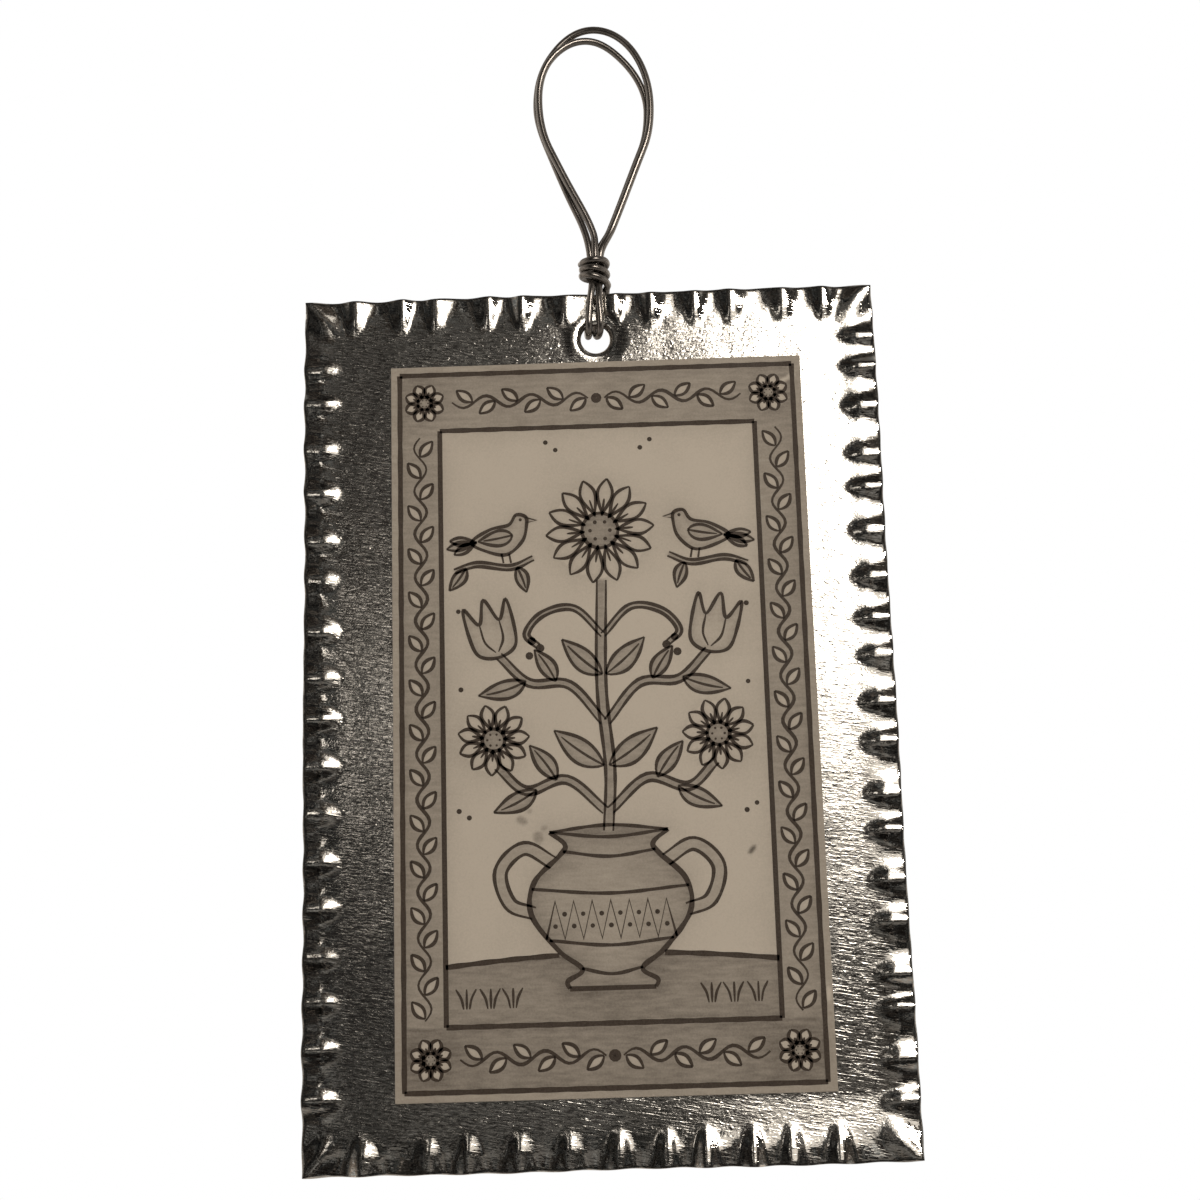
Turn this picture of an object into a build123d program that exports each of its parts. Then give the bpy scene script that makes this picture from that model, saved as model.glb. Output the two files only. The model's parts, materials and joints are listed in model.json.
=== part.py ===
from build123d import *
import math
import os

# Driving dimensions, in millimetres and degrees

# Picture card, of the common two by three and a half inch format, and its adhesive
card_width = 50.8
card_height = 88.9
card_thickness = 0.35
glue_thickness = 0.1
glue_inset = 2.0

# Tin plate: bare border round the card, sheet, crimped edge and punched hole
border_left = 10.9
border_right = 9.5
border_bottom = 8.1
sheet_thickness = 0.3
flute_length = 3.3
flute_rise = 0.55
flutes_across = 12
flutes_along = 19
hole_diameter = 3.8
hole_off_centre = 0.8
rim_diameter = 5.2
rim_depth = 0.4
rim_to_flutes = 0.1
rim_to_card = 0.6

# Hanger wire: eye through the hole, wound neck and two teardrop loops
wire_diameter = 0.9
strand_gap = 0.45
eye_clearance = 0.3
eye_sag = 0.35
eye_rise = 0.2
neck_closing = 1.7
wrap_turns = 3
wrap_pitch = 1.45
tail_lift = 0.7
loop_height = 27.65
loop_width_outer = 14.4
loop_width_inner = 13.0
widest_height = 18.6
loop_top_step = 1.65
leg_lean = 24.0
leg_bend = 3.0
crossing_drift = 0.16

# Sizes worked out from these

# Heights along the plate are counted from the centre of its hole, up
half_sheet = sheet_thickness / 2
edge_height = flute_length + rim_to_flutes + rim_diameter / 2
card_top = -(rim_diameter / 2 + rim_to_card)
card_bottom = card_top - card_height
plate_bottom = card_bottom - border_bottom
plate_width = border_left + card_width + border_right
plate_height = edge_height - plate_bottom
plate_left = -plate_width / 2 - hole_off_centre
plate_middle = (edge_height + plate_bottom) / 2
card_left = plate_left + border_left

# The hole is off the plate's centre line, so the plate hangs turned until its middle is below the hole
hang_turn = math.degrees(math.atan2(hole_off_centre, -plate_middle))

# Wire heights, from the same centre
wire_radius = wire_diameter / 2
strand_pitch = wire_diameter + strand_gap
strand_side = strand_pitch / 2
eye_depth = flute_rise + half_sheet + eye_clearance + wire_radius
eye_top = edge_height + eye_rise
neck_foot = eye_top + neck_closing
neck_top = neck_foot + wrap_turns * wrap_pitch + wire_radius
wrap_radius = strand_side * math.sqrt(2) + strand_pitch
inner_top = neck_top + loop_height + wire_radius
outer_top = inner_top + loop_top_step

# The part's origin is the inside top of the hanging loop
hole_height = -(neck_top + loop_height)

UP = Vector(0, 0, 1)
DOWN = Vector(0, 0, -1)
FRONT = Vector(0, -1, 0)
TINY = 1e-6


def slab(left, right, bottom, top, front, back):
    """Flat block between two sides, two heights and two depths."""
    middle = ((left + right) / 2, (front + back) / 2, (bottom + top) / 2)
    return Pos(*middle) * Box(right - left, back - front, top - bottom)


def band_face(stations, depth, line_of):
    """Thin section of the sheet's edge, its two long sides drawn by line_of."""
    edges = []
    for height in (-half_sheet, half_sheet):
        for index, (start, end) in enumerate(zip(stations, stations[1:])):
            edges.append(line_of(index, start, end, depth, height))
    for end in (stations[0], stations[-1]):
        edges.append(Line((end, depth, -half_sheet), (end, depth, half_sheet)))
    return Face(Wire(edges))


def straight_run(index, start, end, depth, height):
    return Line((start, depth, height), (end, depth, height))


def half_flute(index, start, end, depth, height):
    """One half wave, forward and back by turns, tangent to its neighbours."""
    rise = flute_rise if index % 2 == 0 else -flute_rise
    crest = ((start + end) / 2, depth, height + rise)
    return ThreePointArc((start, depth, height), crest, (end, depth, height))


def fluted_strip(length, flutes):
    """Crimped border strip along X: flat on the inside, full flutes at its outer edge."""
    step = length / (2 * flutes)
    stations = [index * step - length / 2 for index in range(2 * flutes + 1)]
    inside = band_face(stations, 0, straight_run)
    outside = band_face(stations, flute_length, half_flute)
    return loft([inside, outside], ruled=True)


def hole_rim():
    """Ring of sheet round the hole, dished to the back by the punch."""
    outer = rim_diameter / 2
    inner = hole_diameter / 2
    back_arc = TangentArc((outer, half_sheet), (inner, rim_depth + half_sheet), tangent=(-1, 0))
    front_arc = TangentArc((outer, -half_sheet), (inner, rim_depth - half_sheet), tangent=(-1, 0))
    sides = [Line(back_arc @ 0, front_arc @ 0), Line(back_arc @ 1, front_arc @ 1)]
    return revolve(Face(Wire([back_arc, front_arc] + sides)), axis=Axis.Y)


def tin_plate():
    """Tinplate sheet with four fluted borders, flat corners and a dished hole."""
    right = plate_left + plate_width
    inner_left = plate_left + flute_length
    inner_right = right - flute_length
    inner_bottom = plate_bottom + flute_length
    inner_top_edge = edge_height - flute_length
    panel = slab(inner_left, inner_right, inner_bottom, inner_top_edge, -half_sheet, half_sheet)
    punch = Cylinder(rim_diameter / 2, 2 * sheet_thickness, rotation=(90, 0, 0))
    pieces = [hole_rim()]
    for left_edge in (plate_left, inner_right):
        for low_edge in (plate_bottom, inner_top_edge):
            pieces.append(slab(left_edge, left_edge + flute_length, low_edge, low_edge + flute_length,
                               -half_sheet, half_sheet))
    centre = Vector((inner_left + inner_right) / 2, 0, plate_middle)
    across = inner_right - inner_left
    along = inner_top_edge - inner_bottom
    for outward in (UP, DOWN):
        seat = Plane(centre + outward * (along / 2), x_dir=outward.cross(FRONT), z_dir=FRONT)
        pieces.append(seat * fluted_strip(across, flutes_across))
    for outward in (Vector(1, 0, 0), Vector(-1, 0, 0)):
        seat = Plane(centre + outward * (across / 2), x_dir=outward.cross(FRONT), z_dir=FRONT)
        pieces.append(seat * fluted_strip(along, flutes_along))
    return (panel - punch).fuse(*pieces)


def card_adhesive():
    """Film of glue between the plate's front face and the card."""
    return slab(card_left + glue_inset, card_left + card_width - glue_inset, card_bottom + glue_inset,
                card_top - glue_inset, -half_sheet - glue_thickness, -half_sheet)


def picture_card():
    """Printed card on the adhesive."""
    back = -half_sheet - glue_thickness
    return slab(card_left, card_left + card_width, card_bottom, card_top, back - card_thickness, back)


def teardrop(side, width, top):
    """Stations of one loop: up its leg behind on the given side, over, and down in front."""
    lean = math.radians(leg_lean)
    foot_out = strand_side + leg_bend * (1 - math.cos(lean))
    foot_height = neck_top + leg_bend * math.sin(lean)
    widest = neck_top + widest_height
    rising = Vector(side * math.sin(lean), 0, math.cos(lean))
    falling = Vector(side * math.sin(lean), 0, -math.cos(lean))
    over = Vector(-side, -crossing_drift, 0).normalized()
    return [
        (Vector(side * strand_side, strand_side, neck_top), UP),
        (Vector(side * foot_out, strand_side, foot_height), rising),
        (Vector(side * width / 2, strand_side, widest), UP),
        (Vector(0, 0, top), over),
        (Vector(-side * width / 2, -strand_side, widest), DOWN),
        (Vector(-side * foot_out, -strand_side, foot_height), falling),
        (Vector(-side * strand_side, -strand_side, neck_top), DOWN),
        (Vector(-side * strand_side, -strand_side, neck_foot), DOWN),
    ]


def eye_pass(side):
    """Stations of one pass down the front, through the hole and up the back."""
    bottom = eye_sag + eye_depth
    return [
        (Vector(side * strand_side, -eye_depth, eye_top), DOWN),
        (Vector(side * strand_side, -eye_depth, bottom), DOWN),
        (Vector(side * strand_side, eye_depth, bottom), UP),
        (Vector(side * strand_side, eye_depth, eye_top), UP),
    ]


def neck_wraps():
    """Stations of the tail's turns round the neck, four to a turn, from the left side up."""
    stations = []
    climb = wrap_pitch / (2 * math.pi * wrap_radius)
    for quarter in range(4 * wrap_turns + 1):
        turn = math.pi + quarter * math.pi / 2
        place = Vector(wrap_radius * math.cos(turn), wrap_radius * math.sin(turn),
                       neck_foot + quarter * wrap_pitch / 4)
        stations.append((place, Vector(-math.sin(turn), math.cos(turn), climb).normalized()))
    last_place, last_way = stations[-1]
    stations.append((last_place + last_way * wire_diameter, last_way))
    return stations


def wire_stations():
    """The whole wire, from its tucked start in the neck to the end of the wraps."""
    tuck = (Vector(-strand_side, strand_side, neck_foot + tail_lift), UP)
    rejoin = (Vector(strand_side, strand_side, neck_foot), UP)
    outer_loop = teardrop(-1, loop_width_outer, outer_top)
    inner_loop = teardrop(1, loop_width_inner, inner_top)
    return [tuck] + outer_loop + eye_pass(1) + [rejoin] + inner_loop + eye_pass(-1) + neck_wraps()


def arc_or_line(start, way, end):
    """Edge from start to end that leaves start in the given direction."""
    if (end - start).cross(way).length < TINY:
        return Line(start, end)
    return TangentArc(start, end, tangent=way)


def biarc(start, start_way, end, end_way):
    """Two tangent arcs, or lines, that join two stations smoothly."""
    span = end - start
    forward = span.dot(start_way + end_way)
    bend = 2 * (1 - start_way.dot(end_way))
    if bend < TINY:
        reach = span.dot(span) / (2 * forward)
    else:
        reach = (math.sqrt(forward ** 2 + bend * span.dot(span)) - forward) / bend
    first_corner = start + start_way * reach
    second_corner = end - end_way * reach
    middle = (first_corner + second_corner) / 2
    middle_way = (second_corner - first_corner).normalized()
    if span.cross(start_way).length < TINY and bend < TINY:
        return [Line(start, end)]
    return [arc_or_line(start, start_way, middle), arc_or_line(middle, middle_way, end)]


def wire_path():
    edges = []
    stations = wire_stations()
    for (start, start_way), (end, end_way) in zip(stations, stations[1:]):
        edges += biarc(start, start_way, end, end_way)
    return edges


def least_self_gap(edges, step=0.2):
    """Least gap of the wire to itself, measured on points along its path."""
    points = []
    for edge in edges:
        count = max(1, math.ceil(edge.length / step))
        for index in range(count):
            points.append(tuple(edge @ (index / count)))
    apart = math.ceil(4 * wire_diameter / step)
    least = math.inf
    for index, point in enumerate(points):
        for other in points[index + apart:]:
            least = min(least, math.dist(point, other))
    return least - wire_diameter


def hanger_wire():
    """One unbroken wire swept along its path."""
    edges = wire_path()
    path = Wire(edges)
    start, way = wire_stations()[0]
    section = Plane(start, z_dir=way) * Circle(wire_radius)
    wire = sweep(section, path=path)
    tightest = min(edge.radius for edge in edges if edge.geom_type == GeomType.CIRCLE)
    print(f"wire length {path.length:.1f} mm, tightest bend {tightest:.2f} mm")
    print(f"wire least gap to itself {least_self_gap(edges):.2f} mm")
    print(f"wire volume {wire.volume:.2f}, section times length {math.pi * wire_radius ** 2 * path.length:.2f} mm3")
    return wire


def hung(piece):
    """Turns a piece of the plate to the way it hangs, and takes it to the hole's place."""
    return Pos(0, 0, hole_height) * Rot(0, -hang_turn, 0) * piece


parts = {
    "tin_plate": hung(tin_plate()),
    "picture_card": hung(picture_card()),
    "card_adhesive": hung(card_adhesive()),
    "hanger_wire": Pos(0, 0, hole_height) * hanger_wire(),
}

print(f"plate {plate_width:.1f} x {plate_height:.1f} mm, hung {hang_turn:.2f} degrees, hole at z {hole_height:.2f}")
os.makedirs("parts", exist_ok=True)
for name, piece in parts.items():
    export_step(piece, f"parts/{name}.step")
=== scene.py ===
import json
from math import atan2, ceil, cos, degrees, exp, pi, radians, sin, sqrt

import bpy
import numpy as np
from mathutils import Matrix, Quaternion, Vector


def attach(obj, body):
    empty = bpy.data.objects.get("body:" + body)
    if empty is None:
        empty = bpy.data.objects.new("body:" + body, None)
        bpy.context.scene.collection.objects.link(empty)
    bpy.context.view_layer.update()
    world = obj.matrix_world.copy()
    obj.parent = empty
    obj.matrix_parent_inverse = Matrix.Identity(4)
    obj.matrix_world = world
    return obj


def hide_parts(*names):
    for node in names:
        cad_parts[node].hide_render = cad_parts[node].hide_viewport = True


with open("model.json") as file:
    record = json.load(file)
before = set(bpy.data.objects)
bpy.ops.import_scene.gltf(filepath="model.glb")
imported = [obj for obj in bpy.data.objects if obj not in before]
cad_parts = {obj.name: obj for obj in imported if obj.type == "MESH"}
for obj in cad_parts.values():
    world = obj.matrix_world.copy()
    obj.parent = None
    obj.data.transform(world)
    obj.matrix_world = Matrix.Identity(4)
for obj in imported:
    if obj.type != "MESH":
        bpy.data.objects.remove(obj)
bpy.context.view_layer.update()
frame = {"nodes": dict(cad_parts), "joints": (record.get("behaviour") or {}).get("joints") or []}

MM = 0.001
TINY = 1e-9

# Camera, at the photograph's viewing angle
image_side = 1200
focal_pixels = 2050
sensor = 36.0
camera_place = Vector((4.1, -242.1, -129.3)) * MM
camera_look = Vector((-0.0156, 0.9746, 0.2234))
camera_up = Vector((0.015, -0.2231, 0.9747))

# Tin plate: its sheet and the grid it is built on
sheet = 0.3 * MM
sheet_cell = 0.31 * MM
plain_margin = 1.0 * MM
edge_bulge = 0.04 * MM
edge_steps = np.array([0.0, 0.12, 0.3, 0.6]) * MM

# Tin plate: flutes along its edges
flute_swing = 0.17 * MM
flute_sharp = 0.03 * MM
flute_lift = 0.2 * MM
flute_full = 2.1 * MM
flute_end = 5.2 * MM
flute_round = 0.8 * MM
flute_cone = 0.15
flute_sink = 0.12 * MM
flute_uneven = 0.17
flute_swells = (0.75, 1.2)
flutes_across = 12
flutes_along = 19
corner_flat = 3.6 * MM
left_flutes = 17
left_flat = 5.7 * MM
foot_flutes = 11
foot_flat_left = 4.8 * MM
foot_flat_right = 7.4 * MM
foot_bend = 0.17
worked_full = 3.0 * MM
worked_end = 5.4 * MM

# Tin plate: uneven edges, ridges at the corners and slow warps
edge_roll = 0.08 * MM
edge_roll_reach = 0.35 * MM
edge_wander = 0.22 * MM
edge_wander_reach = 3.0 * MM
wander_slow = 0.22
wander_quick = 0.28
side_waves = np.array([6.1, 0.83]) * MM
end_waves = np.array([5.3, 0.9]) * MM
ridge_rise = 0.36 * MM
ridge_half = 2.6 * MM
ridge_full = 2.5 * MM
ridge_end = 7.5 * MM
warp_rise = 0.03 * MM
warp_from = 1.0 * MM
warp_full = 4.0 * MM
warp_waves = np.array([7, 9]) * MM
bow_rise = 0.15 * MM
bow_middle = -48 * MM
bow_half = 20 * MM
foot_curl = 0.75 * MM
foot_curl_from = -8 * MM
foot_curl_to = 18 * MM
foot_curl_soft = 0.1

# Tin plate: punched and dished hole
hole_radius = 1.8 * MM
rim_radius = 3.1 * MM
rim_bevel = 0.035 * MM
rim_lean = 0.06
rim_lean_reach = 4.2 * MM
rim_clear = 0.8 * MM
dish_radius = 2.45 * MM
dish_depth = 0.38 * MM
hole_patch = 3.3 * MM
hole_patch_cell = 0.3 * MM
hole_rings = 9

# Hanger wire
wire_radius = 0.45 * MM
wire_step = 0.25 * MM
wire_sides = 20

# Picture card: print grid and ink lines
print_cell = 0.25 * MM
ink_proud = 0.012 * MM
ink_sunk = 0.02 * MM

# Stage: lights and the room around them
light_front = -0.62
light_colour = (1.0, 0.93, 0.84)
key_place = (0.122, light_front, 0.155)
plate_middle = (0, 0, -0.09)
glow_reach = radians(9)
room_glow = 0.16
room_dim = 0.013
room_contrast = 2e5
room_side = 0.22
side_range = (0.55, 0.95)
room_away = 0.5
room_front = (0, -0.985, 0.17)
front_range = (0.2, 0.7)
flank_range = (0.5, 0.72)
flank_heights = (-0.3, 0.05)
below_range = (-0.75, -0.5)
room_warm = (1.0, 0.84, 0.70, 1)
room_grey = (0.93, 0.95, 0.92, 1)
floor_height = -0.42
floor_radius = 4.0
floor_corners = 64


# Places from the frame: the hole is the joint's centre, and the plate hangs a little turned about it

hole = np.array(frame["joints"][0]["pos_m"])


def node_points(node):
    """Vertices of a CAD node, measured from the hole's centre."""
    return np.array([vertex.co for vertex in frame["nodes"][node].data.vertices]) - hole


def far_corner(points, right, up):
    """The point furthest to the right and up, or the other way for negative weights."""
    return points[np.argmax(right * points[:, 0] + up * points[:, 2])]


card_points = node_points("picture_card")
low_edge = far_corner(card_points, 1, -1) - far_corner(card_points, -1, -1)
hang = atan2(low_edge[2], low_edge[0])
hang_turn = np.array([(cos(hang), 0, sin(hang)), (0, 1, 0), (-sin(hang), 0, cos(hang))])


def upright(points):
    """Turns points of the hung plate back upright."""
    return points @ hang_turn.T


def hung(points):
    """Takes points of the upright plate to where it hangs in the frame."""
    return points @ hang_turn + hole


plate_low = upright(node_points("tin_plate")).min(axis=0)
plate_high = upright(node_points("tin_plate")).max(axis=0)
card_low = upright(card_points).min(axis=0)
card_high = upright(card_points).max(axis=0)


# Helpers for meshes

def add_piece(name, points, faces, body, material):
    """Makes a smooth mesh piece that moves with a body."""
    mesh = bpy.data.meshes.new(name)
    mesh.from_pydata(np.asarray(points).tolist(), [], faces)
    mesh.polygons.foreach_set("use_smooth", [True] * len(mesh.polygons))
    mesh.set_sharp_from_angle(angle=radians(50))
    mesh.materials.append(material)
    piece = bpy.data.objects.new(name, mesh)
    bpy.context.scene.collection.objects.link(piece)
    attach(piece, body)
    return piece


def soft_step(start, end, value):
    """Smooth rise from 0 at start to 1 at end."""
    share = np.clip((value - start) / (end - start), 0, 1)
    return share * share * (3 - 2 * share)


def spaced(start, end, step):
    """Evenly spaced places from start to end, about a step apart."""
    return np.linspace(start, end, max(2, round((end - start) / step) + 1))


def edge_loop(index):
    """Outer edge of a block of grid points, in order."""
    return np.concatenate([index[0, :-1], index[:-1, -1], index[-1, :0:-1], index[:0:-1, 0]])


def band(first, second):
    """Quads between two closed loops of as many points."""
    return np.stack([first, np.roll(first, -1), np.roll(second, -1), second], axis=1)


def grid_quads(index):
    """Quads of a block of grid points."""
    corners = [index[:-1, :-1], index[:-1, 1:], index[1:, 1:], index[1:, :-1]]
    return np.stack(corners, axis=-1).reshape(-1, 4)


def flat_grid(columns, rows):
    """Points of a flat grid, and their numbers by row and column."""
    x, z = np.meshgrid(columns, rows)
    flat = np.stack([x.ravel(), z.ravel()], axis=1)
    return flat, np.arange(len(flat)).reshape(len(rows), len(columns))


def at_depth(flat, depth):
    """Points for flat places, at one depth or at one for each place."""
    return np.stack([flat[:, 0], np.broadcast_to(depth, len(flat)), flat[:, 1]], axis=1)


def sideways(path, closed=False):
    """Unit directions to the left of a line."""
    if closed:
        way = np.roll(path, -1, axis=0) - np.roll(path, 1, axis=0)
    else:
        way = np.gradient(path, axis=0)
    normal = np.stack([-way[:, 1], way[:, 0]], axis=1)
    return normal / np.linalg.norm(normal, axis=1, keepdims=True)


def closed_sheet(flat, quads, loops, front, back):
    """Two faces of a sheet, joined by a rounded strip along each edge."""
    count = len(flat)
    points = [at_depth(flat, depth) for depth in (front, back)]
    faces = [quads, quads[:, ::-1] + count]
    for loop, bulge in loops:
        middle = flat[loop] - sideways(flat[loop], closed=True) * bulge
        depth = (front[loop] + back[loop]) / 2
        start = sum(len(block) for block in points)
        ring = np.arange(start, start + len(loop))
        points.append(at_depth(middle, depth))
        strip = [band(ring, loop), band(loop + count, ring)]
        faces += strip if bulge > 0 else [quad[:, ::-1] for quad in strip]
    return np.concatenate(points), np.concatenate(faces).tolist()


# Helpers for materials

def new_material(name):
    """A material, its node tree and shader, and the place on the object."""
    material = bpy.data.materials.new(name)
    material.use_nodes = True
    tree = material.node_tree
    place = add_node(tree, "TexCoord", {}).outputs["Object"]
    return material, tree, tree.nodes["Principled BSDF"], place


def put(node, key, value):
    """Sets an input to a value, or links a socket to it."""
    if isinstance(value, bpy.types.NodeSocket):
        node.id_data.links.new(value, node.inputs[key])
    else:
        node.inputs[key].default_value = value


def add_node(tree, kind, inputs, **settings):
    node = tree.nodes.new("ShaderNode" + kind)
    for name, value in settings.items():
        setattr(node, name, value)
    for key, value in inputs.items():
        put(node, key, value)
    return node


def stretched(tree, place, sizes, turn=0.0):
    """Coordinates in grains of given sizes, turned about the depth axis."""
    inputs = {"Vector": place, "Rotation": (0, turn, 0), "Scale": sizes}
    return add_node(tree, "Mapping", inputs, vector_type="TEXTURE").outputs["Vector"]


def noise(tree, place, scale=1.0, detail=2.0, rough=0.5, twist=0.0):
    inputs = {"Vector": place, "Scale": scale, "Detail": detail, "Roughness": rough, "Distortion": twist}
    return add_node(tree, "TexNoise", inputs).outputs["Fac"]


def spread(tree, value, low, high, new_low=0.0, new_high=1.0):
    """Maps a range of a value to another one, clamped."""
    inputs = {"Value": value, "From Min": low, "From Max": high, "To Min": new_low, "To Max": new_high}
    return add_node(tree, "MapRange", inputs).outputs["Result"]


def sums(tree, operation, first, second):
    return add_node(tree, "Math", {0: first, 1: second}, operation=operation).outputs[0]


def mixed(tree, share, first, second):
    return add_node(tree, "Mix", {0: share, 6: first, 7: second}, data_type="RGBA").outputs[2]


def bumped(tree, height, distance, normal=None, strength=1.0):
    inputs = {"Height": height, "Distance": distance, "Strength": strength}
    if normal is not None:
        inputs["Normal"] = normal
    return add_node(tree, "Bump", inputs).outputs["Normal"]


# Materials

def tin_material():
    """Bright tinplate: a mirror broken up by fine rolled grain, with faint stains."""
    material, tree, shader, place = new_material("tinplate_bright")
    stained_tin = (0.66, 0.63, 0.58, 1)
    clean_tin = (0.90, 0.88, 0.84, 1)
    dull_tin = (0.25, 0.24, 0.225, 1)
    rolling = radians(8)
    worked = add_node(tree, "Attribute", {}, attribute_name="worked").outputs["Fac"]

    grain_place = stretched(tree, place, (1.3 * MM, 1.0, 0.28 * MM), rolling)
    grain = noise(tree, grain_place, detail=2.0, rough=0.55, twist=0.4)
    flecks = noise(tree, place, scale=1 / (0.3 * MM), detail=1.0)
    dents = noise(tree, stretched(tree, place, (0.7 * MM, 1.0, 0.4 * MM), rolling), detail=1.0)
    streaks = noise(tree, stretched(tree, place, (4.0 * MM, 1.0, 0.17 * MM), radians(9)), detail=1.0)
    tone = noise(tree, stretched(tree, place, (1.1 * MM, 1.0, 0.2 * MM), rolling), rough=0.6)
    slow = noise(tree, place, scale=1 / (6 * MM), detail=1.0)
    stain = noise(tree, place, scale=1 / (11 * MM), detail=4.0, rough=0.6)

    put(shader, "Metallic", 1.0)
    bright = mixed(tree, stain, stained_tin, clean_tin)
    clean = sums(tree, "MAXIMUM", spread(tree, tone, 0.36, 0.62), sums(tree, "MULTIPLY", worked, 0.8))
    put(shader, "Base Color", mixed(tree, clean, dull_tin, bright))
    rough = spread(tree, grain, 0.3, 0.75, 0.09, 0.14)
    put(shader, "Roughness", sums(tree, "MULTIPLY", rough, spread(tree, worked, 0, 1, 1.0, 0.5)))
    strength = spread(tree, worked, 0, 1, 1.0, 0.45)
    normal = bumped(tree, slow, 0.1 * MM)
    layers = (
        (flecks, 0.011 * MM),
        (spread(tree, dents, 0.58, 0.8), 0.015 * MM),
        (spread(tree, streaks, 0.58, 0.75), 0.009 * MM),
        (grain, 0.02 * MM),
    )
    for height, depth in layers:
        normal = bumped(tree, height, depth, normal, strength)
    put(shader, "Normal", normal)
    return material


def wire_material():
    """Dark annealed steel wire: smooth drawn surface with faint patches of scale."""
    material, tree, shader, place = new_material("annealed_wire_dark")
    dark_steel = (0.137, 0.125, 0.115, 1)
    worn_steel = (0.2, 0.183, 0.168, 1)
    scale = noise(tree, place, scale=1 / (1.4 * MM), detail=2.0)
    fine = noise(tree, place, scale=1 / (0.3 * MM), detail=2.0)
    put(shader, "Metallic", 0.95)
    put(shader, "Base Color", mixed(tree, scale, dark_steel, worn_steel))
    put(shader, "Roughness", spread(tree, scale, 0.3, 0.7, 0.23, 0.27))
    put(shader, "Normal", bumped(tree, fine, 0.0005 * MM))
    return material


paper_colour = (0.497, 0.442, 0.374, 1)
ink_colour = (0.032, 0.022, 0.016, 1)
thin_ink_colour = (0.16, 0.125, 0.095, 1)
paper_tooth = 0.005 * MM


def paper_grain(tree, place):
    """Fine print grain and soft cloudiness of the card."""
    fine = noise(tree, place, scale=1 / (0.22 * MM), detail=3.0, rough=0.7)
    cloud = noise(tree, place, scale=1 / (7 * MM), detail=3.0)
    return fine, cloud


def print_material():
    """Matte printed card: paper and brown washes, whose strength is painted on the mesh."""
    material, tree, shader, place = new_material("printed_card_wash")
    fine, cloud = paper_grain(tree, place)
    wash = add_node(tree, "Attribute", {}, attribute_name="wash").outputs["Fac"]
    streak = noise(tree, stretched(tree, place, (2.6 * MM, 1.0, 0.5 * MM)), detail=3.0)
    uneven = spread(tree, streak, 0.3, 0.7, 0.82, 1.18)
    strength = sums(tree, "MULTIPLY", wash, uneven)
    strength = sums(tree, "ADD", strength, spread(tree, fine, 0.25, 0.75, -0.08, 0.08))
    strength = sums(tree, "ADD", strength, spread(tree, cloud, 0.3, 0.7, -0.03, 0.04))
    put(shader, "Base Color", mixed(tree, strength, paper_colour, ink_colour))
    put(shader, "Roughness", spread(tree, fine, 0.3, 0.7, 0.62, 0.8))
    put(shader, "Specular IOR Level", 0.25)
    put(shader, "Normal", bumped(tree, fine, paper_tooth))
    return material


def ink_material():
    """Dark printed line, a little uneven in strength."""
    material, tree, shader, place = new_material("printed_card_line")
    fine, cloud = paper_grain(tree, place)
    strength = spread(tree, fine, 0.3, 0.75, 0.0, 0.3)
    put(shader, "Base Color", mixed(tree, strength, ink_colour, thin_ink_colour))
    put(shader, "Roughness", spread(tree, cloud, 0.3, 0.7, 0.55, 0.7))
    put(shader, "Specular IOR Level", 0.25)
    put(shader, "Normal", bumped(tree, fine, paper_tooth))
    return material


def glue_material():
    """Yellowed adhesive film."""
    material, tree, shader, place = new_material("adhesive_film_aged")
    cloud = noise(tree, place, scale=1 / (4 * MM), detail=4.0)
    put(shader, "Base Color", mixed(tree, cloud, (0.55, 0.47, 0.33, 1), (0.70, 0.64, 0.50, 1)))
    put(shader, "Roughness", spread(tree, cloud, 0.3, 0.7, 0.3, 0.5))
    return material


def floor_material():
    """Plain pale floor with the slightest unevenness."""
    material, tree, shader, place = new_material("pale_floor")
    cloud = noise(tree, place, scale=9.0, detail=3.0)
    put(shader, "Base Color", mixed(tree, cloud, (0.86, 0.85, 0.83, 1), (0.90, 0.89, 0.87, 1)))
    put(shader, "Roughness", 0.8)
    return material


# Tin plate

def crest_places(start, end, count, seed, bend=0.0):
    """Crests along an edge, a little uneven, and with a bend wider apart near its start."""
    chance = np.random.default_rng(seed)
    share = (np.arange(count) + 0.5 + chance.uniform(-flute_uneven, flute_uneven, count)) / count
    return start + (end - start) * (share + bend * share * (1 - share))


def flute_row(along, inset, start, end, count, seeds, bend=0.0):
    """Height of one edge's flutes, by the place along it and in from it."""
    crests = crest_places(start, end, count, seeds[0], bend)
    chance = np.random.default_rng(seeds[1])
    half = (crests[-1] - crests[0]) / (count - 1) / 2
    stations = np.concatenate([[crests[0] - half], crests, [crests[-1] + half]])
    counts = np.concatenate([[-0.5], np.arange(count), [count - 0.5]])
    swells = chance.uniform(*flute_swells, len(stations))
    phase = 2 * np.pi * np.interp(along, stations, counts)
    height = flute_lift + flute_swing * np.cos(phase) + flute_sharp * np.cos(2 * phase)
    swell = np.interp(along, stations, swells)
    ends = soft_step(stations[0] - half, stations[0] + half, along)
    ends *= 1 - soft_step(stations[-1] - half, stations[-1] + half, along)
    depth = inset + flute_round * (1 - np.abs(np.cos(phase)))
    ramp = 1 - soft_step(flute_full, flute_end, depth)
    outer = np.clip(1 - inset / flute_full, 0, 1)
    cone = 1 + flute_cone * outer
    sink = flute_sink * (0.5 - 0.5 * np.cos(phase)) * outer
    return (height * cone - sink) * swell * ends * ramp


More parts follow.
